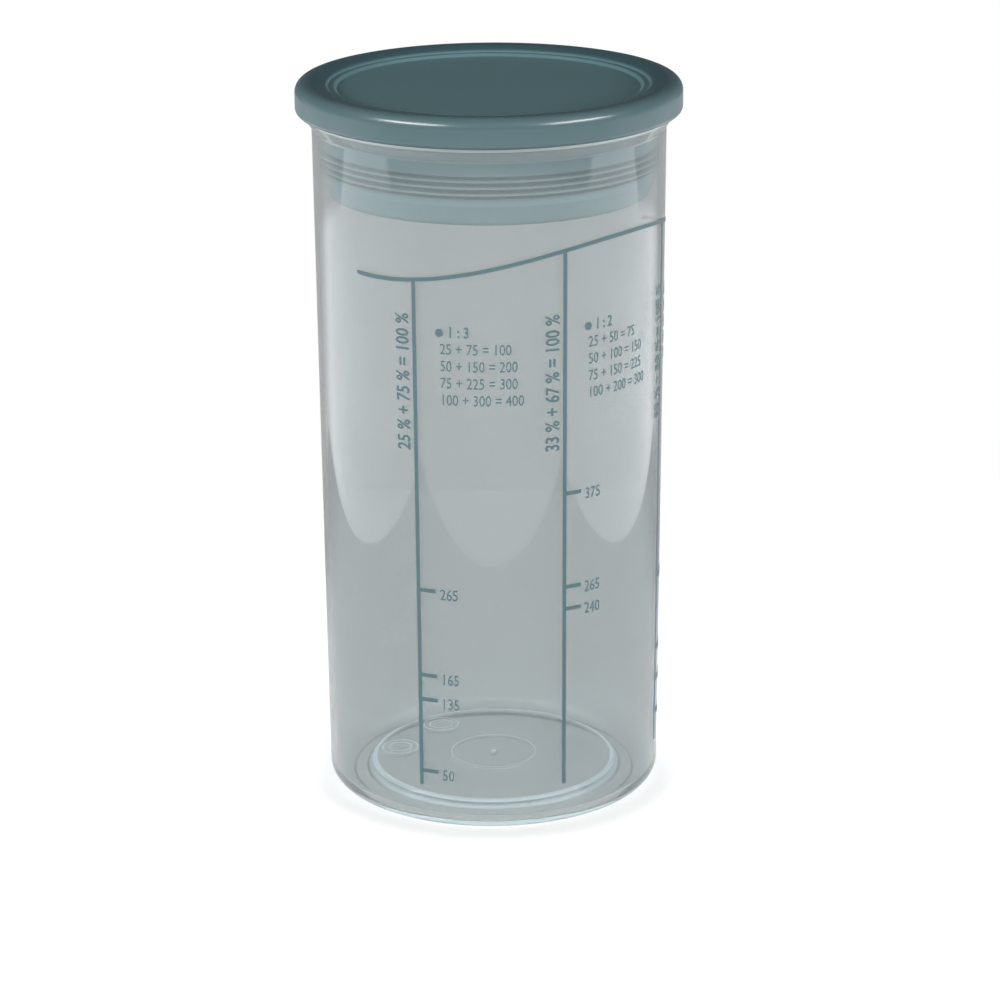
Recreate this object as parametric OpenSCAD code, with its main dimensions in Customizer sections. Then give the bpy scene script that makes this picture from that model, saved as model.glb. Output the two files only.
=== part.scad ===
// Shaker beaker with a plug lid and a printed measuring scale.
// Millimetres, +Z up, the front of the print is -Y and the origin is the
// middle of the foot, on the surface that the beaker stands on.

/* [Beaker] */
// Height of the beaker alone, to the top of its lip
beaker_h = 169.6; // [120:0.2:220]
// Outer radius of the wall at the crease under the lip
crease_r = 41.24; // [35:0.02:50]
// Outer radius that the wall would have at the table
base_r = 39.9; // [34:0.02:50]
// Wall thickness
wall_t = 1.6; // [1.2:0.05:2.4]
// Height from the crease to the top of the lip
lip_h = 7.85; // [6:0.05:12]
// Height of the flare between the crease and the upright lip
flare_h = 3.0; // [2:0.1:4.5]
// How far the flare steps the wall out
flare_out = 2.05; // [1.7:0.05:2.5]
// Outer radius of the heel between the wall and the foot
heel_r = 4.5; // [3:0.1:7]

/* [Base] */
// Width of the flat ring that the beaker stands on
foot_w = 1.6; // [1:0.1:3]
// Thickness of the floor
floor_t = 1.8; // [1.2:0.1:3]
// Depth of the hollow under the gutter of the base
gutter_lift = 0.5; // [0.3:0.1:1.2]
// Radius of the foot of the step round the pushed-up panel, inside
step_r = 31.1; // [24:0.1:33]
// Width of that sloped step
step_w = 1.8; // [1:0.1:3]
// Height of the step
step_h = 1.9; // [1:0.1:3]
// Rise of the panel from its edge to its middle
panel_crown = 0.6; // [0.2:0.1:1.5]
// Radius of the shallow well round the moulding gate
gate_well_r = 10.3; // [6:0.1:14]
// Depth of that well
gate_well_depth = 0.3; // [0.1:0.05:0.6]
// Radius of the gate stub in the middle of the well
gate_stub_r = 1.1; // [0.6:0.1:2]
// Height of the gate stub
gate_stub_h = 0.5; // [0.2:0.1:0.8]
// Radius of the two plain moulding marks under the base
mark_r = 4.4; // [3:0.1:5]
// How far the moulding marks stand proud
mark_h = 0.25; // [0.1:0.05:0.4]

/* [Lid] */
// Thickness of the rim's skirt, which hangs round the beaker's lip
rim_wall = 1.41; // [1:0.01:3]
// Height of the rim
rim_h = 7; // [5.5:0.1:9]
// How far the edge of the rim hangs below the top of the beaker's lip
rim_drop = 4.4; // [3:0.1:4.7]
// Radius of the rounded outer edge of the rim
rim_round = 2.5; // [1:0.1:3]
// Radius of the rounding at the lower edge of the rim
rim_foot_round = 1; // [0.3:0.1:1]
// Width of the rim seen from above, from its outer edge to the recess
recess_inset = 7.06; // [5:0.02:10]
// How far that edge lies below the top of the crown
crown_drop = 0.7; // [0.4:0.05:1.4]
// Height of each of the two steps down into the recess
recess_step = 0.6; // [0.3:0.05:0.8]
// Width of the sloped side of a step
step_run = 0.7; // [0.4:0.05:1.2]
// Width of the ledge between the two steps
ledge_w = 1.3; // [0.6:0.05:2.5]
// Thickness of the lid's top plate
plate_t = 1.9; // [1.4:0.1:3]

/* [Plug] */
// How far the plug reaches below the top of the beaker's lip
plug_reach = 23.1; // [18:0.1:32]
// Thickness of the plug's wall
plug_t = 1.7; // [1.2:0.1:2.5]
// Gap between the plug and the beaker's wall
plug_gap = 0.7; // [0.5:0.05:1.2]
// Height of the tapered lower end of the plug
plug_lead_h = 4.6; // [3:0.1:8]
// How far the lower end draws in
plug_lead_in = 1.3; // [0.6:0.1:2.5]
// Number of sealing fins
fin_count = 3; // [1:1:4]
// Height of the highest fin below the top of the beaker's lip
fin_top_depth = 12.7; // [11:0.1:14]
// Distance from one fin to the next
fin_pitch = 1.5; // [1.2:0.1:2]
// Thickness of a fin where it leaves the plug
fin_root_t = 0.9; // [0.6:0.1:1]
// Thickness of a fin at its edge
fin_tip_t = 0.3; // [0.2:0.05:0.5]

/* [Fits] */
// Running clearance between the sealing fins and the beaker
fin_gap = 0.08; // [0.05:0.01:0.2]
// Clearance of the lid's groove round the beaker's lip
groove_gap = 0.3; // [0.2:0.05:0.6]

/* [Printed scale] */
// Thickness of the ink, drawn thicker than a real print
ink_t = 0.08; // [0.05:0.01:0.2]
// Width of the printed lines
line_w = 0.95; // [0.6:0.05:1.6]
// Mean height of the waved fill line
wave_z = 137.8; // [100:0.1:142]
// How far the waved line rises and falls
wave_rise = 4.35; // [0:0.05:8]
// Angle of a mean crossing of the wave, from the front
wave_phase_angle = 4.75; // [-20:0.25:20]
// Angle where the waved line starts
wave_start_angle = -47.3; // [-60:0.1:-30]
// Angle where the waved line ends
wave_end_angle = 112; // [100:0.5:135]
// Angles of the three scale columns, from the front
column_angles = [-25, 24.3, 76.75];
// Height where the scale columns start
column_foot = 11; // [8:0.1:16]
// Length of a tick beside its column
tick_l = 3.8; // [2:0.1:6]
// Heights of the ticks on the first column
ticks_1 = [14.65, 32.7, 38.8, 59.9];
// Heights of the ticks on the second column
ticks_2 = [54.8, 60.2, 83];
// Heights of the ticks on the third column
ticks_3 = [17.8, 26.4, 34.4, 52.9];

/* [Hidden] */
$fn = 96;

// Wall and lip of the beaker, worked out from the sizes above
crease_z = beaker_h - lip_h;
draft = (crease_r - base_r) / crease_z;
lip_r = crease_r + flare_out;
// Rounding of the lip's two top edges
lip_round = 0.4;
// Inner heel keeps the wall's thickness round the corner
inner_heel_r = max(heel_r - wall_t, 1);
// Floor levels: the gutter, and the edge of the pushed-up panel
gutter_z = gutter_lift + floor_t;
panel_z = gutter_z + step_h;
// Places of the two moulding marks
mark_places = [[-13.2, 18.6], [-23.1, 3.8]];
// How deep a mark or a stub sinks into the panel, to join it
sink = 0.4;

// Rim of the lid: its outer radius, and the radius where the recess starts
rim_r = lip_r + groove_gap + rim_wall;
recess_r = rim_r - recess_inset;
// Lid levels
rim_foot_z = beaker_h - rim_drop;
rim_top_z = rim_foot_z + rim_h;
recess_edge_z = rim_top_z - crown_drop;
recess_ledge_z = recess_edge_z - recess_step;
recess_z = recess_ledge_z - recess_step;
plate_z = recess_z - plate_t;
plug_foot_z = beaker_h - plug_reach;
plug_lead_z = plug_foot_z + plug_lead_h;
// The plug clears the bore at the height of the lead-in's top
plug_r = wall_in_r(plug_lead_z) - plug_gap;
// Rounding of the plug's lower edge
plug_foot_round = 0.6;

// Steps in a full rounded corner of an outline
corner_steps = 10;
// Angle between two points along the waved line
wave_step_angle = 2.5;
// Hair that keeps the ink off the wall and one print off another
ink_hair = 0.02;

// Outer and inner radius of the wall at a height
function wall_out_r(z) = base_r + draft * z;
function wall_in_r(z) = wall_out_r(z) - wall_t;
// Points of an arc round a centre, from one angle to another
function arc(centre, r, from, to, steps = corner_steps) =
    [for (i = [0 : steps]) let (a = from + (to - from) * i / steps)
        centre + r * [cos(a), sin(a)]];
// Height of the middle of the waved line at an angle
function wave_at(a) = wave_z + wave_rise * sin(2 * (a - wave_phase_angle));
// Height of the panel's upper face: a shallow dome inside the step
function panel_top(r) = panel_z + panel_crown * (1 - pow(r / (step_r - step_w), 2));

// Section of the beaker, from the middle of its floor out and up the wall
module beaker_section() {
    panel_r = step_r - step_w;
    foot_in_r = wall_out_r(heel_r) - heel_r - foot_w;
    dome = [0, 0.25, 0.5, 0.75, 1];
    polygon(concat(
        [for (k = dome) [k * panel_r, panel_top(k * panel_r) - floor_t]],
        [[step_r - floor_t / 4, gutter_lift], [foot_in_r, gutter_lift],
         [foot_in_r + gutter_lift, 0]],
        arc([wall_out_r(heel_r) - heel_r, heel_r], heel_r, -90, 0),
        [[crease_r, crease_z], [lip_r, crease_z + flare_h]],
        arc([lip_r - lip_round, beaker_h - lip_round], lip_round, 0, 90, 4),
        arc([lip_r - wall_t + lip_round, beaker_h - lip_round], lip_round, 90, 180, 4),
        [[lip_r - wall_t, crease_z + flare_h], [crease_r - wall_t, crease_z]],
        arc([wall_in_r(gutter_z + inner_heel_r) - inner_heel_r, gutter_z + inner_heel_r],
            inner_heel_r, 0, -90),
        [[step_r, gutter_z]],
        [for (i = [len(dome) - 1 : -1 : 0]) [dome[i] * panel_r, panel_top(dome[i] * panel_r)]]
    ));
}

// Clear beaker: tapered wall, flared lip, stepped base with a gate well
module beaker() {
    color("#a7afb1", 0.5) {
        well_top_z = panel_top(0) - floor_t + gate_well_depth;
        difference() {
            rotate_extrude() beaker_section();
            cylinder(r = gate_well_r, h = well_top_z);
        }
        translate([0, 0, well_top_z - gate_stub_h])
            cylinder(r = gate_stub_r, h = gate_stub_h + sink);
        for (place = mark_places) {
            face_z = panel_top(norm(place) + mark_r) - floor_t;
            translate([place[0], place[1], face_z - mark_h])
                cylinder(r = mark_r, h = mark_h + floor_t - sink);
        }
    }
}

// Section of the lid: crowned rim, recess, plug wall and the lip's groove
module lid_section() {
    groove_r = lip_r + groove_gap;
    lead_r = plug_r - plug_lead_in;
    plug_in_r = plug_r - plug_t;
    crown_r = (pow(rim_r - rim_round - recess_r, 2) + pow(crown_drop, 2)) / (2 * crown_drop);
    crown_turn = asin((rim_r - rim_round - recess_r) / crown_r);
    ledge_out_r = recess_r - step_run;
    ledge_in_r = ledge_out_r - ledge_w;
    polygon(concat(
        [[0, plate_z], [plug_in_r - 1, plate_z], [plug_in_r, plate_z - 1],
         [plug_in_r, plug_lead_z]],
        arc([lead_r - plug_t + plug_foot_round, plug_foot_z + plug_foot_round],
            plug_foot_round, 180, 270, 4),
        arc([lead_r - plug_foot_round, plug_foot_z + plug_foot_round],
            plug_foot_round, 270, 360, 4),
        [[plug_r, plug_lead_z], [plug_r, beaker_h], [groove_r, beaker_h],
         [groove_r, rim_foot_z]],
        arc([rim_r - rim_foot_round, rim_foot_z + rim_foot_round],
            rim_foot_round, -90, 0, 5),
        arc([rim_r - rim_round, rim_top_z - rim_round], rim_round, 0, 90),
        arc([rim_r - rim_round, rim_top_z - crown_r], crown_r, 90, 90 + crown_turn),
        [[ledge_out_r, recess_ledge_z], [ledge_in_r, recess_ledge_z],
         [ledge_in_r - step_run, recess_z], [0, recess_z]]
    ));
}

// Section of one sealing fin, drawn with its edge level at z
module fin_section(z) {
    polygon([
        [plug_r - plug_t / 2, z - fin_root_t / 2],
        [wall_in_r(z - fin_tip_t / 2) - fin_gap, z - fin_tip_t / 2],
        [wall_in_r(z - fin_tip_t / 2) - fin_gap, z + fin_tip_t / 2],
        [plug_r - plug_t / 2, z + fin_root_t / 2]
    ]);
}

// Soft lid in one moulding: rim, recessed top and plug with its sealing fins
module lid() {
    color("#5f777d") rotate_extrude() {
        lid_section();
        for (i = [0 : fin_count - 1])
            fin_section(beaker_h - fin_top_depth - i * fin_pitch);
    }
}

// Film of ink all round the wall between two heights
module ink_film(z_low, z_high) {
    rotate_extrude() polygon([
        [wall_out_r(z_low) + ink_hair, z_low],
        [wall_out_r(z_low) + ink_hair + ink_t, z_low],
        [wall_out_r(z_high) + ink_hair + ink_t, z_high],
        [wall_out_r(z_high) + ink_hair, z_high]
    ]);
}

// One scale: an upright line up to the waved line, with ticks on its right
module scale_column(angle, ticks) {
    half_turn = asin(line_w / crease_r / 2);
    top_z = wave_at(angle) - line_w / 2 - ink_hair
        - abs(wave_at(angle + half_turn) - wave_at(angle - half_turn)) / 2;
    color("#5d7a80") intersection() {
        ink_film(column_foot, top_z);
        rotate([90, 0, angle]) linear_extrude(2 * crease_r) {
            translate([-line_w / 2, 0]) square([line_w, beaker_h]);
            for (z = ticks)
                translate([0, z - line_w / 2]) square([line_w / 2 + tick_l, line_w]);
        }
    }
}

// Waved fill line: a thin band swept along the wall by the wave's own formula
module fill_line() {
    sweep = wave_end_angle - wave_start_angle;
    steps = ceil(sweep / wave_step_angle);
    corners = [[0, -1], [1, -1], [1, 1], [0, 1]];
    points = [
        for (i = [0 : steps], c = corners)
            let (a = wave_start_angle + sweep * i / steps,
                 z = wave_at(a) + c[1] * line_w / 2,
                 r = wall_out_r(z) + 2 * ink_hair + c[0] * ink_t)
            [r * sin(a), -r * cos(a), z]
    ];
    sides = [
        for (i = [0 : steps - 1], k = [0 : 3])
            let (n = 4 * i, m = (k + 1) % 4)
            [n + k, n + m, n + 4 + m, n + 4 + k]
    ];
    ends = [[3, 2, 1, 0], [4 * steps, 4 * steps + 1, 4 * steps + 2, 4 * steps + 3]];
    color("#5d7a80") polyhedron(points, concat(sides, ends), convexity = 4);
}

module scale_1() { scale_column(column_angles[0], ticks_1); }
module scale_2() { scale_column(column_angles[1], ticks_2); }
module scale_3() { scale_column(column_angles[2], ticks_3); }

beaker();
lid();
fill_line();
scale_1();
scale_2();
scale_3();
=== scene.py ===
# %% [markdown]
# # A clear shaker beaker with a soft plug lid
# This lesson dresses the CAD model of a kitchen beaker: a tall vessel of clear plastic, a soft
# lid that plugs its mouth, and a scale printed on the wall. The CAD model arrives as a fixed
# frame, with a place for every piece, and everything made here is built into that frame in
# metres. The clear wall is what makes or breaks the picture, so its shape is spun with far
# finer steps than the CAD mesh has, and most of the light is set up for what it reflects.

import math

import bmesh
import bpy
from mathutils import Matrix, Vector


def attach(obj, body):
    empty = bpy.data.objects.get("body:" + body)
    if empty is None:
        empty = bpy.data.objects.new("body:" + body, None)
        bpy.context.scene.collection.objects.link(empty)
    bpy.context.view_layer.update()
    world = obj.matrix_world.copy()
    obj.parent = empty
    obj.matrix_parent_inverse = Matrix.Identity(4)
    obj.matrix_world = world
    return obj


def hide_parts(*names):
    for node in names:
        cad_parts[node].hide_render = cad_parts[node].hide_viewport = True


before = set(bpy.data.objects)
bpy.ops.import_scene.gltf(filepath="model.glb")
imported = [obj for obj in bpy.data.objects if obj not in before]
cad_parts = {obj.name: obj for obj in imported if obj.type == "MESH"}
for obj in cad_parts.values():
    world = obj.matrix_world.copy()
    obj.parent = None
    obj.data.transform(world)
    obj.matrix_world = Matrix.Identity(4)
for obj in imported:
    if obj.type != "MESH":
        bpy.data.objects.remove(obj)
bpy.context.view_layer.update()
MM = 0.001

# %% [markdown]
# ## The camera
# The photograph looks a little down on the beaker, from about 0.9 m away with a long lens, so
# upright walls hardly converge. The camera could be aimed with a Track To constraint. Here its
# three directions are worked out from two angles and a small roll, because they came from
# matching the outlines of lid, wall and base, and then nothing has to be tracked.

# %% Place the camera
CAMERA_BACK = 821.84 * MM
CAMERA_UP = 341.36 * MM
LOOK_DOWN = 0.3196
LOOK_RIGHT = 0.0024
ROLL = -0.0065
SENSOR_MM = 36.0
LENS_MM = 129.66

ahead = Vector((
    math.sin(LOOK_RIGHT) * math.cos(LOOK_DOWN),
    math.cos(LOOK_RIGHT) * math.cos(LOOK_DOWN),
    -math.sin(LOOK_DOWN),
))
level_right = Vector((math.cos(LOOK_RIGHT), -math.sin(LOOK_RIGHT), 0))
level_up = level_right.cross(ahead)
right = level_right * math.cos(ROLL) + level_up * math.sin(ROLL)
up = level_up * math.cos(ROLL) - level_right * math.sin(ROLL)

camera = bpy.data.objects.new("camera", bpy.data.cameras.new("camera"))
bpy.context.scene.collection.objects.link(camera)
camera.data.sensor_fit = "HORIZONTAL"
camera.data.sensor_width = SENSOR_MM
camera.data.lens = LENS_MM
camera.data.clip_start = 0.01
axes = Matrix((right, up, -ahead)).transposed().to_4x4()
camera.matrix_world = Matrix.Translation((0, -CAMERA_BACK, CAMERA_UP)) @ axes
bpy.context.scene.camera = camera

# %% [markdown]
# ## Sizes of the two mouldings
# Both mouldings are round about one upright axis, so each is described by a section: distances
# from the axis and heights, in millimetres. The sizes are those of the CAD model. What the wall
# and the pushed-up floor do in between follows from two short formulas.

# %% Sizes of the beaker, in millimetres
LIP_TOP = 169.6
CREASE_R = 41.24
CREASE_Z = 161.75
BASE_R = 39.9
WALL = 1.6
FLARE_H = 3.0
LIP_R = CREASE_R + 2.05
HEEL_R = 4.5
FOOT_W = 1.6
FLOOR = 1.8
GUTTER_LIFT = 0.5
GUTTER_Z = GUTTER_LIFT + FLOOR
STEP_R = 31.1
PANEL_R = STEP_R - 1.8
PANEL_Z = GUTTER_Z + 1.9
PANEL_CROWN = 0.6
WELL_R = 10.3
WELL_DEPTH = 0.3
STUB_R = 1.1
STUB_H = 0.5
MARK_R = 4.4
MARK_H = 0.25
MARK_PLACES = [(-13.2, 18.6), (-23.1, 3.8)]


def wall_r(z):
    """Outer radius of the tapered wall at a height."""
    return BASE_R + (CREASE_R - BASE_R) * z / CREASE_Z


def panel_top(r):
    """Height of the inside of the floor's domed panel at a distance from the axis."""
    return PANEL_Z + PANEL_CROWN * (1 - (r / PANEL_R) ** 2)


print("Wall radius at the foot and the crease:", wall_r(0), round(wall_r(CREASE_Z), 2))

# %% Sizes of the lid, in millimetres
RIM_FOOT = LIP_TOP - 4.4
RIM_TOP = RIM_FOOT + 7.0
GROOVE_R = LIP_R + 0.3
RIM_R = GROOVE_R + 1.41
RIM_ROUND = 2.5
RIM_FOOT_ROUND = 1.0
RECESS_R = RIM_R - 7.06
RECESS_EDGE_Z = RIM_TOP - 0.7
RECESS_STEP = 0.6
RECESS_Z = RECESS_EDGE_Z - 2 * RECESS_STEP
LEDGE_W = 1.3
STEP_RUN = 0.7
PLATE = 1.9
PLUG_FOOT = LIP_TOP - 23.1
PLUG_LEAD = PLUG_FOOT + 4.6
PLUG_R = wall_r(PLUG_LEAD) - WALL - 0.7
PLUG_LEAD_IN = 1.3
PLUG_WALL = 1.7
FIN_HEIGHTS = [LIP_TOP - 12.7 - 1.5 * i for i in (2, 1, 0)]
FIN_ROOT = 0.7
FIN_TIP = 0.3
FIN_GAP = 0.08
BAND_R = PLUG_R - 0.8
BAND_LOW = FIN_HEIGHTS[0] - 1.1
BAND_HIGH = FIN_HEIGHTS[-1] + 1.1
ledge_in = RECESS_R - STEP_RUN - LEDGE_W
print("Plug radius:", round(PLUG_R, 2), "fins at", [round(z, 1) for z in FIN_HEIGHTS])

# %% [markdown]
# ## Spinning a section into a moulding
# A round moulding could be made with the Screw modifier, or by joining rings by hand. Spinning
# a thin outline with bmesh gives the same surface in one step, and it stays a mesh whose edges
# can be chosen by their place. The corners of the outline are left sharp at first. Then each
# ring of edges is found by its distance and height and rounded with a bevel, as a toolmaker
# rounds a mould. The bevel needs the width along the faces, which is the wanted radius times
# the tangent of half the turn.

# %% Helpers that spin a section and round its rings
SPIN_STEPS = 192
NEAR = 0.004 * MM
SHARP_TURN = math.radians(32)


def spin_section(corners):
    """A closed bmesh spun from corners, given as distance and height in millimetres."""
    bm = bmesh.new()
    points = [bm.verts.new((r * MM, 0, z * MM)) for r, z in corners]
    outline = [bm.edges.new(pair) for pair in zip(points, points[1:])]
    bmesh.ops.spin(
        bm, geom=points + outline, cent=(0, 0, 0), axis=(0, 0, 1),
        angle=2 * math.pi, steps=SPIN_STEPS, use_merge=True,
    )
    bmesh.ops.remove_doubles(bm, verts=bm.verts, dist=0.0001 * MM)
    bmesh.ops.recalc_face_normals(bm, faces=bm.faces)
    return bm


def round_ring(bm, r, z, radius, segments=5):
    """Rounds the ring of edges at a distance and height, all in millimetres."""
    def at_ring(v):
        off_r = math.hypot(v.co.x, v.co.y) - r * MM
        return abs(off_r) < NEAR and abs(v.co.z - z * MM) < NEAR

    ring = [e for e in bm.edges if at_ring(e.verts[0]) and at_ring(e.verts[1])]
    if not ring:
        raise ValueError(f"no ring of edges at {r:.2f}, {z:.2f}")
    turn = ring[0].calc_face_angle()
    bmesh.ops.bevel(
        bm, geom=ring, offset=radius * MM * math.tan(turn / 2), offset_type="OFFSET",
        affect="EDGES", segments=segments, profile=0.5, material=-1, clamp_overlap=True,
    )


def arc(centre, radius, start, end, steps):
    """Points of an arc in the section, with its angles in degrees."""
    turns = [math.radians(start + (end - start) * i / steps) for i in range(steps + 1)]
    return [(centre[0] + radius * math.cos(t), centre[1] + radius * math.sin(t)) for t in turns]


def finish_piece(bm, name, body, material):
    """Turns a bmesh into a smooth-shaded piece that rides on a body."""
    for face in bm.faces:
        face.smooth = True
    for edge in bm.edges:
        edge.smooth = edge.calc_face_angle(0) < SHARP_TURN
    mesh = bpy.data.meshes.new(name)
    bm.to_mesh(mesh)
    bm.free()
    piece = bpy.data.objects.new(name, mesh)
    bpy.context.scene.collection.objects.link(piece)
    piece.data.materials.append(material)
    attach(piece, body)
    return piece


def joined(bm, additions):
    """One bmesh of the body and its additions, with no walls left inside."""
    def holder(shape):
        mesh = bpy.data.meshes.new("holder")
        shape.to_mesh(mesh)
        shape.free()
        thing = bpy.data.objects.new("holder", mesh)
        bpy.context.scene.collection.objects.link(thing)
        return thing

    body = holder(bm)
    others = [holder(shape) for shape in additions]
    for other in others:
        join = body.modifiers.new("join", "BOOLEAN")
        join.operation = "UNION"
        join.solver = "EXACT"
        join.object = other
    evaluated = body.evaluated_get(bpy.context.evaluated_depsgraph_get())
    whole = bmesh.new()
    whole.from_mesh(evaluated.to_mesh())
    evaluated.to_mesh_clear()
    for thing in [body, *others]:
        mesh = thing.data
        bpy.data.objects.remove(thing)
        bpy.data.meshes.remove(mesh)
    return whole


def even_shading(piece):
    """Lets large faces decide the shading, so that roundings don't bleed into flats."""
    weighted = piece.modifiers.new("weighted_normals", "WEIGHTED_NORMAL")
    weighted.keep_sharp = True
    weighted.weight = 60


# %% [markdown]
# ## Colours and nodes
# Blender's sockets want linear light, and colours are picked in sRGB, so one function
# turns a hex value into linear light. One more adds a node and wires it, so that a material
# reads as a short list of what it is made of.

# %% Helpers for colours and nodes


def linear(hex_colour):
    """An sRGB hex colour as linear red, green, blue and alpha."""
    parts = [int(hex_colour[i:i + 2], 16) / 255 for i in (1, 3, 5)]
    light = [p / 12.92 if p <= 0.04045 else ((p + 0.055) / 1.055) ** 2.4 for p in parts]
    return (*light, 1.0)


def add_node(tree, kind, inputs=None, **settings):
    """Adds a node, with settings on the node and values or links on its inputs."""
    node = tree.nodes.new(kind)
    for name, value in settings.items():
        setattr(node, name, value)
    for name, value in (inputs or {}).items():
        if isinstance(value, bpy.types.NodeSocket):
            tree.links.new(value, node.inputs[name])
        else:
            node.inputs[name].default_value = value
    return node


def new_material(name):
    """An empty node material, with its output node."""
    material = bpy.data.materials.new(name)
    material.use_nodes = True
    material.node_tree.nodes.clear()
    output = material.node_tree.nodes.new("ShaderNodeOutputMaterial")
    return material, material.node_tree, output


# %% [markdown]
# ## Clear polypropylene
# The wall is injection-moulded polypropylene: clear, but a little grey and milky, with a glossy
# skin. Two things give it away. What is seen through two walls is dimmer than the background,
# and even a dark lid behind one wall looks pale, because the plastic scatters some light itself.
# A Glass node alone can't do the second, so a Principled node is used with part of its weight
# left to plain scattering. Lamps would cast a solid shadow from such a surface, because Cycles
# doesn't look for light through glass, so for shadow rays a tinted Transparent node takes over.

# %% Material of the beaker
WALL_TINT = "#c6cbcc"
# Colour and clearness of the painted highlights, and of the lip's milky, painted sheen.
PAINTED_LIGHT_TINT = "#e9f3f7"
CLEARNESS = 0.88
CLEARNESS_UNDER_PAINTED_LIGHT = 0.2
# Above the crease the lip is painted lighter and less clear: partly milkier plastic, partly a painted
# sheen. Its top edge gets a painted highlight line.
LIP_MILK_AND_SHEEN = 0.24
LIP_EDGE_PAINTED_HIGHLIGHT = 0.75
WALL_SHADOW_TINT = "#f4f7f7"
FLOW_WIDTH_MM = 14.0
FLOW_LENGTH_MM = 90.0


# Painted highlights: the floor's step, the well's edge, the gate stub and the marks' outlines are
# painted white and less clear, where the real floor catches highlights.
PAINTED_HIGHLIGHT_RINGS = (
    [((0, 0), PANEL_R - 0.1, 0.8), ((0, 0), WELL_R, 0.22), ((0, 0), 0, STUB_R)]
    + [(place, MARK_R, 0.27) for place in MARK_PLACES]
    + [(place, MARK_R * 0.64, 0.22) for place in MARK_PLACES]
)


def clear_polypropylene():
    """Moulded clear plastic, with a painted sheen on the lip and painted highlights on its edge and
    floor.
    """
    material, tree, output = new_material("clear_moulded_polypropylene")
    place = add_node(tree, "ShaderNodeTexCoord")
    where = add_node(tree, "ShaderNodeSeparateXYZ", {"Vector": place.outputs["Object"]})
    across = add_node(tree, "ShaderNodeCombineXYZ", {
        "X": where.outputs["X"], "Y": where.outputs["Y"],
    })
    # The lip above the crease: partly milkier plastic, partly painted sheen.
    painted_light_amount = add_node(tree, "ShaderNodeMapRange", {
        "Value": where.outputs["Z"], "From Min": (CREASE_Z - 0.4) * MM,
        "From Max": (CREASE_Z + 0.6) * MM, "To Max": LIP_MILK_AND_SHEEN,
    }).outputs["Result"]
    # A painted highlight line along the lip's top edge.
    bands = [(where.outputs["Z"], CREASE_Z + FLARE_H, 0.6, LIP_EDGE_PAINTED_HIGHLIGHT)]
    # Painted highlights on the floor's rings and round the marks.
    for centre, r, half in PAINTED_HIGHLIGHT_RINGS:
        away = add_node(tree, "ShaderNodeVectorMath", {
            0: across.outputs["Vector"], 1: (centre[0] * MM, centre[1] * MM, 0),
        }, operation="DISTANCE")
        bands.append((away.outputs["Value"], r, half, 1.0))
    for measured, middle, half, amount in bands:
        off = add_node(tree, "ShaderNodeMath", {0: measured, 1: middle * MM}, operation="SUBTRACT")
        size = add_node(tree, "ShaderNodeMath", {0: off.outputs["Value"]}, operation="ABSOLUTE")
        band = add_node(tree, "ShaderNodeMapRange", {
            "Value": size.outputs["Value"], "From Min": half * MM, "From Max": half * 0.6 * MM,
            "To Max": amount,
        })
        painted_light_amount = add_node(tree, "ShaderNodeMath", {
            0: painted_light_amount, 1: band.outputs["Result"],
        }, operation="MAXIMUM").outputs["Value"]
    tint = add_node(tree, "ShaderNodeMix", {
        0: painted_light_amount, 6: linear(WALL_TINT), 7: linear(PAINTED_LIGHT_TINT),
    }, data_type="RGBA")
    clearness = add_node(tree, "ShaderNodeMapRange", {
        "Value": painted_light_amount, "To Min": CLEARNESS, "To Max": CLEARNESS_UNDER_PAINTED_LIGHT,
    })
    along = add_node(tree, "ShaderNodeMapping", {
        "Vector": place.outputs["Object"],
        "Scale": (1, 1, FLOW_WIDTH_MM / FLOW_LENGTH_MM),
    })
    flow = add_node(tree, "ShaderNodeTexNoise", {
        "Vector": along.outputs["Vector"], "Scale": 1 / (FLOW_WIDTH_MM * MM),
        "Detail": 2.0, "Roughness": 0.4,
    })
    bump = add_node(tree, "ShaderNodeBump", {
        "Height": flow.outputs["Fac"], "Strength": 0.25, "Distance": 0.05 * MM,
    })
    gloss = add_node(tree, "ShaderNodeMapRange", {
        "Value": flow.outputs["Fac"], "To Min": 0.02, "To Max": 0.045,
    })
    plastic = add_node(tree, "ShaderNodeBsdfPrincipled", {
        "Base Color": tint.outputs[2],
        "Transmission Weight": clearness.outputs["Result"], "IOR": 1.49,
        "Roughness": gloss.outputs["Result"], "Normal": bump.outputs["Normal"],
    })
    lamp_path = add_node(tree, "ShaderNodeLightPath")
    see_through = add_node(tree, "ShaderNodeBsdfTransparent", {
        "Color": linear(WALL_SHADOW_TINT),
    })
    both = add_node(tree, "ShaderNodeMixShader", {
        0: lamp_path.outputs["Is Shadow Ray"],
        1: plastic.outputs["BSDF"], 2: see_through.outputs["BSDF"],
    })
    tree.links.new(both.outputs["Shader"], output.inputs["Surface"])
    return material


beaker_plastic = clear_polypropylene()

# %% [markdown]
# ## The beaker
# One moulding: a floor with a gate stub in a shallow well, a domed panel pushed up over a
# gutter, a standing ring, a rounded heel, a wall that widens upwards so that it leaves the
# mould, and a lip that flares out under the lid. All of it is one section, spun once.

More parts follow.
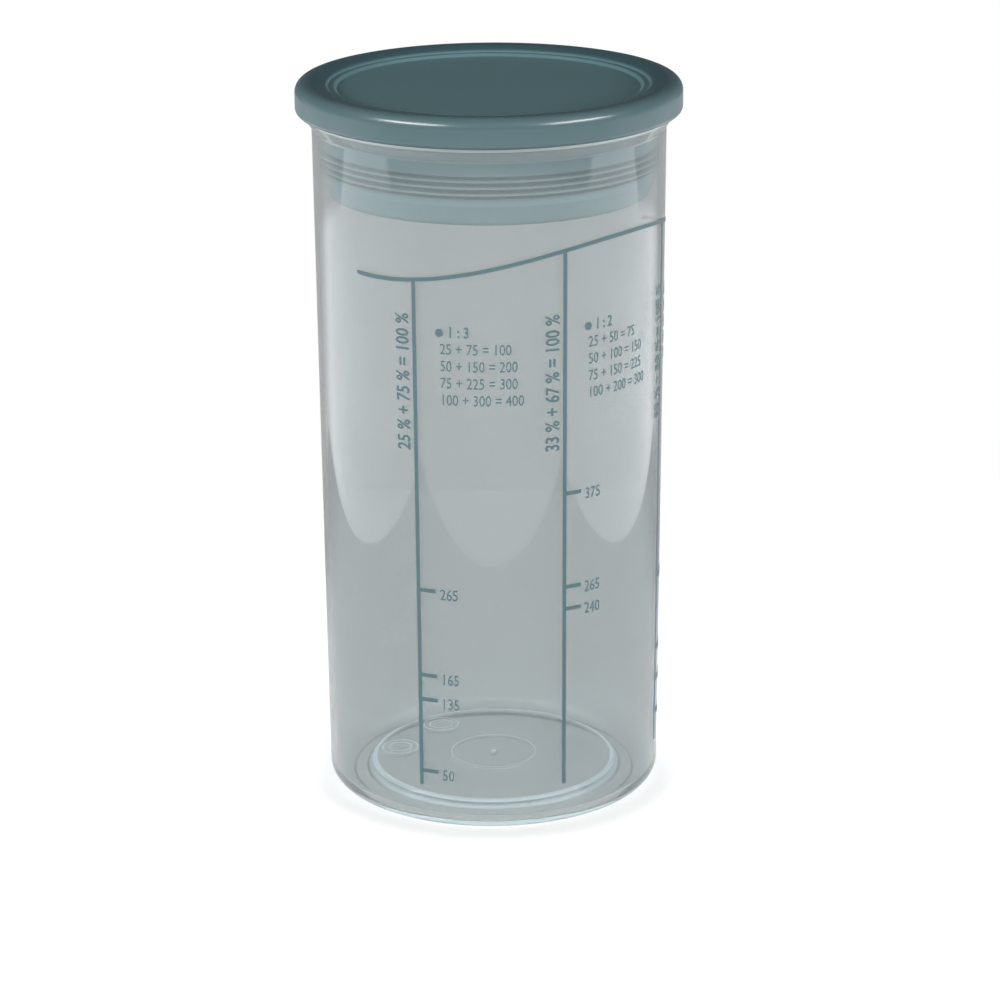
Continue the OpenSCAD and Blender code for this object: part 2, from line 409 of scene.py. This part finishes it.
# %% Spin the beaker
well_top = panel_top(0) - FLOOR + WELL_DEPTH
foot_in = wall_r(0) - HEEL_R - FOOT_W
dome_steps = [0.2, 0.4, 0.6, 0.8, 1.0]
inner_heel_z = GUTTER_Z
beaker_rings = {
    "heel": (wall_r(0), 0), "crease": (CREASE_R, CREASE_Z),
    "flare": (LIP_R, CREASE_Z + FLARE_H), "lip_out": (LIP_R, LIP_TOP),
    "lip_in": (LIP_R - WALL, LIP_TOP), "flare_in": (LIP_R - WALL, CREASE_Z + FLARE_H),
    "crease_in": (CREASE_R - WALL, CREASE_Z), "heel_in": (wall_r(GUTTER_Z) - WALL, GUTTER_Z),
    "step_foot": (STEP_R, GUTTER_Z), "step_top": (PANEL_R, panel_top(PANEL_R)),
}
beaker_section = (
    [(0, well_top - STUB_H), (STUB_R, well_top - STUB_H), (STUB_R, well_top)]
    + [(WELL_R, well_top), (WELL_R, panel_top(WELL_R) - FLOOR)]
    + [(k * PANEL_R, panel_top(k * PANEL_R) - FLOOR) for k in dome_steps[1:]]
    + [(STEP_R - FLOOR / 4, GUTTER_LIFT), (foot_in, GUTTER_LIFT), (foot_in + GUTTER_LIFT, 0)]
    + list(beaker_rings.values())
    + [(k * PANEL_R, panel_top(k * PANEL_R)) for k in reversed([0.0] + dome_steps[:-1])]
)
beaker_mesh = spin_section(beaker_section)
beaker_rounding = {
    "heel": (HEEL_R, 10), "crease": (1.2, 4), "flare": (1.2, 4), "lip_out": (0.4, 4),
    "lip_in": (0.4, 4), "flare_in": (0.8, 4), "crease_in": (0.8, 4), "heel_in": (2.9, 8),
    "step_foot": (0.6, 4), "step_top": (0.6, 4),
}
for ring, (radius, segments) in beaker_rounding.items():
    round_ring(beaker_mesh, *beaker_rings[ring], radius, segments)
round_ring(beaker_mesh, WELL_R, well_top, 0.12, 2)
round_ring(beaker_mesh, STUB_R, well_top - STUB_H, 0.2, 3)
marks = []
for x, y in MARK_PLACES:
    under = panel_top(math.hypot(x, y) + MARK_R) - FLOOR
    tall = MARK_H + FLOOR / 2
    disc = bmesh.new()
    bmesh.ops.create_cone(disc, cap_ends=True, segments=64, radius1=MARK_R * MM,
                          radius2=MARK_R * MM, depth=tall * MM)
    bmesh.ops.translate(disc, verts=disc.verts,
                        vec=Vector((x, y, under - MARK_H + tall / 2)) * MM)
    marks.append(disc)
beaker_mesh = joined(beaker_mesh, marks)
beaker = finish_piece(beaker_mesh, "clear_beaker", "vessel", beaker_plastic)
even_shading(beaker)
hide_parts("beaker")
print("Beaker faces:", len(beaker.data.polygons))

# %% [markdown]
# ## Satin polyethylene
# The lid is a softer plastic, coloured all through. Its mould was lightly eroded, so the skin
# is satin: highlights spread out, and a very fine grain breaks them up. The grain is about a
# tenth of a millimetre on the real one; here it is drawn three times as coarse, because it
# would vanish between pixels. Slow changes in roughness keep large flats from looking printed.

# %% Material of the lid
# The real lid has one colour with a random cloud of tone. The other shades below are painted light and
# painted shade.
LID_COLOUR = "#5c777c"
LID_COLOUR_WORN = "#627c82"
# Painted shade: the crown of the rim is painted darker, as little light reaches it from above and
# behind.
CROWN_PAINTED_SHADE = "#4d6c74"
# Painted light: the recess panel is painted lighter than the crown, and the plug lighter for the light
# it gets through the clear wall.
PANEL_AND_PLUG_PAINTED_LIGHT = "#6d9096"
# Painted light: the plug's lead-in taper and foot are painted lighter.
LEAD_IN_PAINTED_LIGHT = "#7ea0a6"
# Painted shade: the grooves between the fins are painted darker.
GROOVE_PAINTED_SHADE = "#43626a"
# Painted light: the fins' tips are painted lighter.
FIN_TIP_PAINTED_LIGHT = "#88a9af"
GRAIN_MM = 0.3
CLOUD_MM = 18.0


def satin_polyethylene():
    """Moulded soft plastic with a fine eroded grain, and painted shade and light on crown, panel and
    plug.
    """
    material, tree, output = new_material("satin_moulded_polyethylene")
    place = add_node(tree, "ShaderNodeTexCoord")
    grain = add_node(tree, "ShaderNodeTexNoise", {
        "Vector": place.outputs["Object"], "Scale": 1 / (GRAIN_MM * MM), "Detail": 3.0,
    })
    cloud = add_node(tree, "ShaderNodeTexNoise", {
        "Vector": place.outputs["Object"], "Scale": 1 / (CLOUD_MM * MM), "Detail": 3.0,
    })
    clouded = add_node(tree, "ShaderNodeMix", {
        0: cloud.outputs["Fac"], 6: linear(LID_COLOUR), 7: linear(LID_COLOUR_WORN),
    }, data_type="RGBA")
    where = add_node(tree, "ShaderNodeSeparateXYZ", {"Vector": place.outputs["Object"]})
    flat = add_node(tree, "ShaderNodeCombineXYZ", {"X": where.outputs["X"], "Y": where.outputs["Y"]})
    reach = add_node(tree, "ShaderNodeVectorMath", {0: flat.outputs["Vector"]}, operation="LENGTH")
    in_panel = add_node(tree, "ShaderNodeMapRange", {
        "Value": reach.outputs["Value"], "From Min": (RECESS_R - 0.5) * MM,
        "From Max": (RECESS_R - 0.1) * MM, "To Min": 1.0, "To Max": 0.0,
    })
    # Painted shade on the crown of the rim.
    crown_shade_mask = add_node(tree, "ShaderNodeMapRange", {
        "Value": reach.outputs["Value"], "From Min": (RIM_R - RIM_ROUND - 1.4) * MM,
        "From Max": (RIM_R - RIM_ROUND + 0.2) * MM, "To Min": 1.0, "To Max": 0.0,
    })
    in_plug = add_node(tree, "ShaderNodeMapRange", {
        "Value": where.outputs["Z"], "From Min": (RIM_FOOT - 0.5) * MM,
        "From Max": RIM_FOOT * MM, "To Min": 1.0, "To Max": 0.0,
    })
    with_crown_shade = add_node(tree, "ShaderNodeMix", {
        0: crown_shade_mask.outputs["Result"], 6: clouded.outputs[2], 7: linear(CROWN_PAINTED_SHADE),
    }, data_type="RGBA")
    # Painted light on the recess panel.
    with_panel_light = add_node(tree, "ShaderNodeMix", {
        0: in_panel.outputs["Result"], 6: with_crown_shade.outputs[2], 7: linear(PANEL_AND_PLUG_PAINTED_LIGHT),
    }, data_type="RGBA")
    # Painted light on the plug's lead-in, foot and fin tips, and painted shade in the grooves between
    # the fins.
    zones = {}
    for name, measured, start, end in (
        ("groove", reach.outputs["Value"], BAND_R + 0.4, BAND_R + 0.15),
        ("outside", reach.outputs["Value"], BAND_R - 0.3, BAND_R - 0.2),
        ("band", where.outputs["Z"], BAND_LOW - 0.4, BAND_LOW - 0.1),
        ("fin", reach.outputs["Value"], PLUG_R + 0.1, PLUG_R + 0.35),
        ("lead_in", where.outputs["Z"], BAND_LOW - 0.2, BAND_LOW - 0.9),
        ("foot", where.outputs["Z"], PLUG_FOOT + 0.5, PLUG_FOOT + 1.1),
    ):
        zone = add_node(tree, "ShaderNodeMapRange", {
            "Value": measured, "From Min": start * MM, "From Max": end * MM,
        })
        zones[name] = zone.outputs["Result"]
    # The plug starts from the painted light colour too.
    colour_of_plug = linear(PANEL_AND_PLUG_PAINTED_LIGHT)
    for names, shade in (
        (("lead_in", "foot"), LEAD_IN_PAINTED_LIGHT),
        (("groove", "outside", "band"), GROOVE_PAINTED_SHADE),
        (("fin",), FIN_TIP_PAINTED_LIGHT),
    ):
        amount = 1.0
        for name in names:
            product = add_node(tree, "ShaderNodeMath", {0: amount, 1: zones[name]},
                               operation="MULTIPLY")
            amount = product.outputs["Value"]
        mixed = add_node(tree, "ShaderNodeMix", {
            0: amount, 6: colour_of_plug, 7: linear(shade),
        }, data_type="RGBA")
        colour_of_plug = mixed.outputs[2]
    colour = add_node(tree, "ShaderNodeMix", {
        0: in_plug.outputs["Result"], 6: with_panel_light.outputs[2], 7: colour_of_plug,
    }, data_type="RGBA")
    even_gloss = add_node(tree, "ShaderNodeMapRange", {
        "Value": cloud.outputs["Fac"], "To Min": 0.22, "To Max": 0.265,
    })
    gloss = add_node(tree, "ShaderNodeMath", {
        0: in_panel.outputs["Result"], 1: 0.0, 2: even_gloss.outputs["Result"],
    }, operation="MULTIPLY_ADD")
    bump = add_node(tree, "ShaderNodeBump", {
        "Height": grain.outputs["Fac"], "Strength": 0.25, "Distance": 0.02 * MM,
    })
    plastic = add_node(tree, "ShaderNodeBsdfPrincipled", {
        "Base Color": colour.outputs[2], "Roughness": gloss.outputs["Value"],
        "IOR": 1.5, "Normal": bump.outputs["Normal"],
    })
    tree.links.new(plastic.outputs["BSDF"], output.inputs["Surface"])
    return material


lid_plastic = satin_polyethylene()

# %% [markdown]
# ## The lid
# The lid is one moulding too: a rim that hangs over the beaker's lip, a shallow recess, and a
# hollow plug with three thin fins that seal against the wall. The crown of the rim is a wide
# arc that meets the small rounding of its shoulder, and both are drawn as arcs in the section.

# %% Spin the lid
shoulder = (RIM_R - RIM_ROUND, RIM_TOP - RIM_ROUND)
crown_run = RIM_R - RIM_ROUND - RECESS_R
crown_fall = RIM_TOP - RECESS_EDGE_Z
crown_r = (crown_run ** 2 + crown_fall ** 2) / (2 * crown_fall)
crown_turn = math.degrees(math.asin(crown_run / crown_r))
lead_r = PLUG_R - PLUG_LEAD_IN
plug_in = PLUG_R - PLUG_WALL
plate_z = RECESS_Z - PLATE
ledge_z = RECESS_EDGE_Z - RECESS_STEP
recess_rings = {
    "ledge_out": (RECESS_R - STEP_RUN, ledge_z), "ledge_in": (ledge_in, ledge_z),
    "floor": (ledge_in - STEP_RUN, RECESS_Z),
}


def fin_corners(z):
    """The four corners of a sealing fin, from its lower root to its upper one."""
    tip_r = wall_r(z) - WALL - FIN_GAP
    low, high = z - FIN_TIP / 2, z + FIN_TIP / 2
    return [(BAND_R, z - FIN_ROOT / 2), (tip_r, low), (tip_r, high), (BAND_R, z + FIN_ROOT / 2)]


lid_section = (
    [(0, plate_z), (plug_in, plate_z), (plug_in, PLUG_LEAD)]
    + [(lead_r - PLUG_WALL, PLUG_FOOT), (lead_r, PLUG_FOOT), (PLUG_R, PLUG_LEAD)]
    + [(PLUG_R, BAND_LOW), (BAND_R, BAND_LOW)]
    + [corner for z in FIN_HEIGHTS for corner in fin_corners(z)]
    + [(BAND_R, BAND_HIGH), (PLUG_R, BAND_HIGH)]
    + [(PLUG_R, LIP_TOP), (GROOVE_R, LIP_TOP), (GROOVE_R, RIM_FOOT), (RIM_R, RIM_FOOT)]
    + arc(shoulder, RIM_ROUND, 0, 90, 10)
    + arc((shoulder[0], RIM_TOP - crown_r), crown_r, 90, 90 + crown_turn, 12)[1:]
    + list(recess_rings.values())
    + [(0, RECESS_Z)]
)
lid_mesh = spin_section(lid_section)
round_ring(lid_mesh, plug_in, plate_z, 1.2)
round_ring(lid_mesh, lead_r - PLUG_WALL, PLUG_FOOT, 0.6)
round_ring(lid_mesh, lead_r, PLUG_FOOT, 0.6)
round_ring(lid_mesh, PLUG_R, PLUG_LEAD, 0.8)
round_ring(lid_mesh, RIM_R, RIM_FOOT, RIM_FOOT_ROUND)
round_ring(lid_mesh, RECESS_R, RECESS_EDGE_Z, 0.25, 4)
for ring in recess_rings.values():
    round_ring(lid_mesh, *ring, 0.3, 4)
lid = finish_piece(lid_mesh, "plug_lid", "lid", lid_plastic)
even_shading(lid)
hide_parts("lid")
print("Lid faces:", len(lid.data.polygons))

# %% [markdown]
# ## Screen-printing ink
# The scale is printed on the wall in the lid's colour. Screen ink lies as a thin, matt, nearly
# opaque film whose cover is a little uneven: small specks let the wall show through. The lines
# are CAD nodes whose shape is right already, so they only get this material.

# %% Material of the printed scale
INK_COLOUR = "#5f7b82"
INK_THIN = "#6b868c"
SPECK_MM = 0.35


def screen_ink():
    """A thin matt ink film, uneven at the scale of the screen's mesh."""
    material, tree, output = new_material("screen_printed_ink")
    place = add_node(tree, "ShaderNodeTexCoord")
    speck = add_node(tree, "ShaderNodeTexNoise", {
        "Vector": place.outputs["Object"], "Scale": 1 / (SPECK_MM * MM), "Detail": 2.0,
    })
    colour = add_node(tree, "ShaderNodeMix", {
        0: speck.outputs["Fac"], 6: linear(INK_COLOUR), 7: linear(INK_THIN),
    }, data_type="RGBA")
    ink = add_node(tree, "ShaderNodeBsdfPrincipled", {
        "Base Color": colour.outputs[2], "Roughness": 0.55, "IOR": 1.45,
    })
    tree.links.new(ink.outputs["BSDF"], output.inputs["Surface"])
    return material


ink = screen_ink()
for node in ("fill_line", "scale_1", "scale_2", "scale_3"):
    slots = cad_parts[node].data.materials
    slots.clear()
    slots.append(ink)

# %% [markdown]
# ## Printed numbers
# Each column carries plain numbers: millilitres beside its ticks, and a small table of mixing
# amounts. Blender's text curves give clean outlines. Each line of text becomes a mesh first,
# and then its points are wrapped round the wall: sideways becomes an angle, up stays up, and
# the thickness is added to the wall's radius. The millilitres are worked out from the beaker's
# own inside, so the scale measures what it says.

# %% Volumes and the text helper
COLUMN_ANGLES = (-25.0, 24.3, 76.75)
TICKS = ((59.9, 38.8, 32.7, 14.65), (83.0, 60.2, 54.8), (52.9, 34.4, 26.4, 17.8))
INK_LIFT = 0.03
INK_THICK = 0.05
DIGIT_SQUEEZE = 0.8


def millilitres(z):
    """Volume inside the beaker below a height, in millilitres."""
    slices = 60
    step = (z - GUTTER_Z) / slices
    total = 0.0
    for i in range(slices):
        level = GUTTER_Z + (i + 0.5) * step
        r_in = wall_r(level) - WALL
        panel = PANEL_R if level < PANEL_Z else 0
        total += math.pi * (r_in ** 2 - panel ** 2) * step / 1000
    return total


def text_mesh(words, height, bold):
    """A flat text as a bmesh in millimetres, its digits of the given height."""
    curve = bpy.data.curves.new("words", "FONT")
    curve.body = words
    curve.size = 1.0
    curve.offset = 0.018 if bold else 0.0
    curve.extrude = 0.05
    curve.resolution_u = 3
    holder = bpy.data.objects.new("words", curve)
    mesh = holder.to_mesh()
    bm = bmesh.new()
    bm.from_mesh(mesh)
    holder.to_mesh_clear()
    bpy.data.objects.remove(holder)
    bpy.data.curves.remove(curve)
    scale = height / CAP_HEIGHT
    bmesh.ops.scale(bm, vec=(scale * DIGIT_SQUEEZE, scale, 1), verts=bm.verts)
    return bm


def cap_height():
    """Height of a digit in a text of size one."""
    curve = bpy.data.curves.new("digit", "FONT")
    curve.body = "1"
    holder = bpy.data.objects.new("digit", curve)
    mesh = holder.to_mesh()
    height = max(v.co.y for v in mesh.vertices) - min(v.co.y for v in mesh.vertices)
    holder.to_mesh_clear()
    bpy.data.objects.remove(holder)
    bpy.data.curves.remove(curve)
    return height


CAP_HEIGHT = cap_height()


def wrap(target, flat_shape, angle, z):
    """Wraps a flat bmesh round the wall at an angle and a height, and adds it to the target."""
    for v in flat_shape.verts:
        side, rise, depth = v.co
        level = z + rise
        r = wall_r(level) + INK_LIFT + (INK_THICK if depth > 0 else 0)
        turn = math.radians(angle) + side / CREASE_R
        v.co = Vector((r * math.sin(turn), -r * math.cos(turn), level)) * MM
    part = bpy.data.meshes.new("part")
    flat_shape.to_mesh(part)
    flat_shape.free()
    target.from_mesh(part)
    bpy.data.meshes.remove(part)


def print_words(target, words, height, angle, z, bold=False, upright=False):
    """Adds a text to the bmesh target, wrapped on the wall from an angle and a height."""
    bm = text_mesh(words, height, bold)
    if upright:
        bmesh.ops.rotate(bm, cent=(0, 0, 0), matrix=Matrix.Rotation(math.pi / 2, 3, "Z"),
                         verts=bm.verts)
    wrap(target, bm, angle, z)


def print_dot(target, radius, angle, z):
    """Adds a round dot to the bmesh target, wrapped on the wall."""
    disc = bmesh.new()
    bmesh.ops.create_cone(disc, cap_ends=True, segments=32, radius1=radius, radius2=radius,
                          depth=0.1)
    wrap(target, disc, angle, z)


# %% Print the numbers beside the ticks
TICK_TEXT_TURN = 7.5
TICK_TEXT_H = 2.6
TICK_TEXT_DROP = 2.0

for column, (angle, ticks) in enumerate(zip(COLUMN_ANGLES, TICKS), start=1):
    numbers = bmesh.new()
    for z in ticks:
        volume = 5 * round(millilitres(z) / 5)
        print_words(numbers, f"{volume}", TICK_TEXT_H, angle + TICK_TEXT_TURN, z - TICK_TEXT_DROP)
        print("column", column, "tick at", z, "mm holds", volume, "ml")
    bmesh.ops.remove_doubles(numbers, verts=numbers.verts, dist=0.0001 * MM)
    finish_piece(numbers, f"numbers_{column}", "vessel", ink)

# %% [markdown]
# ## Mixing tables
# Right of each column stands a small table, under a dot: the ratio of two liquids, and four
# pairs of amounts with their sums. Left of the column the same ratio runs up the wall in
# per cent. The tables keep the size and rhythm of print on such a beaker, with numbers only.

# %% Print the mixing tables
RATIOS = ((1, 3), (1, 2), (1, 1))
TABLE_TURN = 8.6
TABLE_TOP = 121.2
ROW_PITCH = 4.0
TABLE_TEXT_H = 2.45
DOT_R = 0.95
DOT_TURN = 7.2
LABEL_TURN = -2.1
LABEL_FOOT = 93.5
LABEL_TEXT_H = 3.2
BASE_AMOUNT = 25

for column, (angle, (small, large)) in enumerate(zip(COLUMN_ANGLES, RATIOS), start=1):
    table = bmesh.new()
    print_dot(table, DOT_R, angle + DOT_TURN + 1.3, TABLE_TOP + DOT_R)
    print_words(table, f"{small} : {large}", TABLE_TEXT_H, angle + TABLE_TURN + 2.6, TABLE_TOP, True)
    for row in range(1, 5):
        a, b = small * BASE_AMOUNT * row, large * BASE_AMOUNT * row
        words = f"{a} + {b} = {a + b}"
        print_words(table, words, TABLE_TEXT_H, angle + TABLE_TURN, TABLE_TOP - row * ROW_PITCH)
    share = round(100 * small / (small + large))
    label = f"{share} % + {100 - share} % = 100 %"
    print_words(table, label, LABEL_TEXT_H, angle + LABEL_TURN, LABEL_FOOT, True, True)
    bmesh.ops.remove_doubles(table, verts=table.verts, dist=0.0001 * MM)
    finish_piece(table, f"mixing_table_{column}", "vessel", ink)

# %% [markdown]
# ## The stage
# The photograph has a pure white ground with only a breath of shadow. The floor is a square of
# pale card, a little larger than the beaker's own height. Rays from the camera and rays through
# the clear wall see it topped up with light to white, and still get the real shadow. In the
# gloss of the wall it keeps its duller look, with bright room beyond its edge: that contrast
# draws the soft tongues of light that such a wall shows.

# %% Floor
FLOOR_HALF = 220.0
CARD_COLOUR = "#b8b8b8"
TOP_UP = 0.75
# Painted shadow: near the edge of the beaker's foot the top-up is lower, which paints a narrow shadow
# ring on the card.
TOP_UP_IN_PAINTED_SHADOW = 0.5
PAINTED_SHADOW_NEAR = 1.0
PAINTED_SHADOW_FAR = 9.0
GLOSS_UP = 0.37
GLOSS_UP_BEHIND = 0.1

card, card_tree, card_output = new_material("pale_card")
sight = add_node(card_tree, "ShaderNodeLightPath")
either = add_node(card_tree, "ShaderNodeMath", {
    0: sight.outputs["Is Camera Ray"], 1: sight.outputs["Is Transmission Ray"],
}, operation="MAXIMUM")
turned = add_node(card_tree, "ShaderNodeMath", {
    0: sight.outputs["Diffuse Depth"], 1: sight.outputs["Glossy Depth"],
}, operation="ADD")
unturned = add_node(card_tree, "ShaderNodeMath", {
    0: turned.outputs["Value"], 1: 0.5,
}, operation="LESS_THAN")
seen = add_node(card_tree, "ShaderNodeMath", {
    0: either.outputs["Value"], 1: unturned.outputs["Value"],
}, operation="MULTIPLY")
paper = add_node(card_tree, "ShaderNodeBsdfDiffuse", {"Color": linear(CARD_COLOUR)})
card_place = add_node(card_tree, "ShaderNodeTexCoord")
from_middle = add_node(card_tree, "ShaderNodeVectorMath", {
    0: card_place.outputs["Object"],
}, operation="LENGTH")
# A painted shadow ring round the foot's edge, fading out over a few millimetres.
from_shade = add_node(card_tree, "ShaderNodeMath", {
    0: from_middle.outputs["Value"], 1: BASE_R * MM,
}, operation="SUBTRACT")
off_foot = add_node(card_tree, "ShaderNodeMath", {
    0: from_shade.outputs["Value"],
}, operation="ABSOLUTE")
top_up = add_node(card_tree, "ShaderNodeMapRange", {
    "Value": off_foot.outputs["Value"], "From Min": PAINTED_SHADOW_NEAR * MM, "From Max": PAINTED_SHADOW_FAR * MM,
    "To Min": TOP_UP_IN_PAINTED_SHADOW, "To Max": TOP_UP,
}, interpolation_type="SMOOTHSTEP")
straight_up = add_node(card_tree, "ShaderNodeMath", {
    0: seen.outputs["Value"], 1: top_up.outputs["Result"],
}, operation="MULTIPLY")
mirrored_card = add_node(card_tree, "ShaderNodeMath", {
    0: sight.outputs["Glossy Depth"], 1: 0.5,
}, operation="GREATER_THAN")
card_side = add_node(card_tree, "ShaderNodeSeparateXYZ", {
    "Vector": card_place.outputs["Object"],
})
gloss_up = add_node(card_tree, "ShaderNodeMapRange", {
    "Value": card_side.outputs["Y"], "From Min": 80 * MM, "From Max": 150 * MM,
    "To Min": GLOSS_UP, "To Max": GLOSS_UP_BEHIND,
})
strength = add_node(card_tree, "ShaderNodeMath", {
    0: mirrored_card.outputs["Value"], 1: gloss_up.outputs["Result"],
    2: straight_up.outputs["Value"],
}, operation="MULTIPLY_ADD")
glow = add_node(card_tree, "ShaderNodeEmission", {"Strength": strength.outputs["Value"]})
card_light = add_node(card_tree, "ShaderNodeAddShader", {
    0: paper.outputs["BSDF"], 1: glow.outputs["Emission"],
})
underside = add_node(card_tree, "ShaderNodeNewGeometry")
unseen = add_node(card_tree, "ShaderNodeBsdfTransparent")
card_sides = add_node(card_tree, "ShaderNodeMixShader", {
    0: underside.outputs["Backfacing"],
    1: card_light.outputs["Shader"], 2: unseen.outputs["BSDF"],
})
card_tree.links.new(card_sides.outputs["Shader"], card_output.inputs["Surface"])

floor_mesh = bmesh.new()
bmesh.ops.create_grid(floor_mesh, x_segments=1, y_segments=1, size=FLOOR_HALF * MM)
bmesh.ops.translate(floor_mesh, vec=(0, 0, -0.05 * MM), verts=floor_mesh.verts)
floor_data = bpy.data.meshes.new("floor")
floor_mesh.to_mesh(floor_data)
floor_mesh.free()
floor = bpy.data.objects.new("floor", floor_data)
floor.data.materials.append(card)
bpy.context.scene.collection.objects.link(floor)

# %% [markdown]
# ## The room
# The world plays the studio. Straight and through the wall it is white. As plain light it is
# an even grey-white. In reflections it is a bright ground below the table's edge and dim above,
# as in a studio whose lamps stand high and whose camera side is dark.

# %% Parts of the room
AMBIENT_BELOW = 0.3
AMBIENT_ABOVE = 0.2
ROOM_FRONT = 1.5
ROOM_FLANK = 1.85
ROOM_DIM = 0.3
ROOM_SIDE = 0.6
ROOM_BEHIND_LOW = 0.5
ROOM_BEHIND = 0.12
ROOM_ABOVE = 0.03
ROOM_INSIDE = 1.5
OVERHEAD = 0.6
OVERHEAD_INSIDE = 14.0
FLANK_RISE = 0.03

world = bpy.data.worlds.new("studio")
bpy.context.scene.world = world
world.use_nodes = True
room = world.node_tree
room.nodes.clear()
room_output = room.nodes.new("ShaderNodeOutputWorld")
path = add_node(room, "ShaderNodeLightPath")
heading = add_node(room, "ShaderNodeTexCoord")
toward = add_node(room, "ShaderNodeSeparateXYZ", {"Vector": heading.outputs["Generated"]})
sideways = add_node(room, "ShaderNodeMath", {0: toward.outputs["X"]}, operation="ABSOLUTE")

part = {}
for name, value, start, end, low, high in (
    ("plain", toward.outputs["Z"], -0.1, 0.1, AMBIENT_BELOW, AMBIENT_ABOVE),
    ("lower", toward.outputs["Y"], -0.9, -0.3, ROOM_FRONT, ROOM_FLANK),
    ("upper", toward.outputs["Y"], -0.35, -0.15, ROOM_DIM, ROOM_SIDE),
    ("behind", toward.outputs["Z"], -0.22, -0.1, ROOM_BEHIND_LOW, ROOM_BEHIND),
    ("is_behind", toward.outputs["Y"], 0.62, 0.86, 0.0, 1.0),
    ("is_flank", sideways.outputs["Value"], 0.88, 0.975, 0.0, 1.0),
    ("is_above", toward.outputs["Z"], -0.05, 0.2, 0.0, 1.0),
    ("over_start", toward.outputs["Z"], 0.60, 0.66, 0.0, 1.0),
    ("over_end", toward.outputs["Z"], 0.88, 0.93, 1.0, 0.0),
    ("over_front", toward.outputs["Y"], 0.1, 0.3, 1.0, 0.0),
):
    step = add_node(room, "ShaderNodeMapRange", {
        "Value": value, "From Min": start, "From Max": end, "To Min": low, "To Max": high,
    }, interpolation_type="SMOOTHSTEP")
    part[name] = step.outputs["Result"]

# %% What each kind of ray meets
is_inside = add_node(room, "ShaderNodeMath", {
    0: path.outputs["Transmission Depth"], 1: 0.5,
}, operation="GREATER_THAN").outputs["Value"]
is_mirrored = add_node(room, "ShaderNodeMath", {
    0: path.outputs["Glossy Depth"], 1: 0.5,
}, operation="GREATER_THAN").outputs["Value"]
is_scattered = add_node(room, "ShaderNodeMath", {
    0: path.outputs["Diffuse Depth"], 1: 0.5,
}, operation="GREATER_THAN").outputs["Value"]
horizon = add_node(room, "ShaderNodeMath", {
    0: part["is_flank"], 1: -FLANK_RISE, 2: toward.outputs["Z"],
}, operation="MULTIPLY_ADD")
is_upper = add_node(room, "ShaderNodeMapRange", {
    "Value": horizon.outputs["Value"], "From Min": -0.248, "From Max": -0.240,
}, interpolation_type="SMOOTHSTEP").outputs["Result"]
strip = add_node(room, "ShaderNodeMath", {
    0: part["over_start"], 1: part["over_end"],
}, operation="MULTIPLY")
is_overhead = add_node(room, "ShaderNodeMath", {
    0: strip.outputs["Value"], 1: part["over_front"],
}, operation="MULTIPLY").outputs["Value"]

for name, amount, low, high in (
    ("upper", is_inside, part["upper"], ROOM_INSIDE),
    ("around", is_upper, part["lower"], "upper"),
    ("around", part["is_behind"], "around", part["behind"]),
    ("overhead", is_inside, OVERHEAD, OVERHEAD_INSIDE),
    ("above", is_overhead, ROOM_ABOVE, "overhead"),
    ("mirrored", part["is_above"], "around", "above"),
    ("seen", is_mirrored, 1.0, "mirrored"),
    ("met", is_scattered, "seen", part["plain"]),
):
    mix = add_node(room, "ShaderNodeMix", {
        0: amount, 2: part.get(low, low), 3: part.get(high, high),
    }, data_type="FLOAT")
    part[name] = mix.outputs[0]
any_view = add_node(room, "ShaderNodeMath", {
    0: path.outputs["Is Camera Ray"], 1: path.outputs["Is Transmission Ray"],
}, operation="MAXIMUM")
sharp_view = add_node(room, "ShaderNodeMath", {
    0: any_view.outputs["Value"], 1: path.outputs["Is Glossy Ray"],
}, operation="MAXIMUM")
strength_met = add_node(room, "ShaderNodeMix", {
    0: sharp_view.outputs["Value"], 2: part["plain"], 3: part["met"],
}, data_type="FLOAT")
sky = add_node(room, "ShaderNodeBackground", {
    "Color": (1, 1, 1, 1), "Strength": strength_met.outputs[0],
})
room.links.new(sky.outputs["Background"], room_output.inputs["Surface"])

# %% [markdown]
# ## The lamps
# Two strips hang high, left and right, and draw the two pale streaks on the lid's shoulder; only
# gloss sees them. Two low softboxes at the sides and two behind light the beaker, unseen in gloss.
# All are hidden from the camera and from rays through the wall, so that no white square hangs in
# any view.

# %% Softboxes
AIM = Vector((0, 0, 150)) * MM
LAMP_AWAY = 1150.0


def softbox(name, azimuth, elevation, width, height, level, lights, glints):
    """A rectangular lamp aimed at the beaker, its surface as bright as level times white."""
    turn, rise = math.radians(azimuth), math.radians(elevation)
    toward = Vector((math.sin(turn) * math.cos(rise), -math.cos(turn) * math.cos(rise), math.sin(rise)))
    data = bpy.data.lights.new(name, "AREA")
    data.shape = "RECTANGLE"
    data.size = width * MM
    data.size_y = height * MM
    data.energy = level * math.pi * data.size * data.size_y
    lamp = bpy.data.objects.new(name, data)
    bpy.context.scene.collection.objects.link(lamp)
    position = AIM + toward * LAMP_AWAY * MM
    facing = (-toward).to_track_quat("-Z", "Y")
    lamp.matrix_world = Matrix.Translation(position) @ facing.to_matrix().to_4x4()
    lamp.visible_camera = False
    lamp.visible_transmission = False
    lamp.visible_diffuse = lights
    lamp.visible_glossy = glints
    share = width * height / LAMP_AWAY ** 2 * level / math.pi
    print(name, "lights a white card that faces it to", round(share, 2))
    return lamp


softbox("strip_left", -50, 32, 700, 190, 28.0, False, True)
softbox("strip_right", 57, 32, 700, 190, 24.5, False, True)
softbox("softbox_left", -53, 15, 700, 190, 22.5, True, False)
softbox("softbox_right", 62, 11, 700, 190, 20.5, True, False)
softbox("softbox_back_left", -148, 3, 900, 400, 4.5, True, False)
softbox("softbox_back_right", 148, 3, 900, 400, 4.5, True, False)

bpy.context.scene.view_settings.view_transform = "Standard"
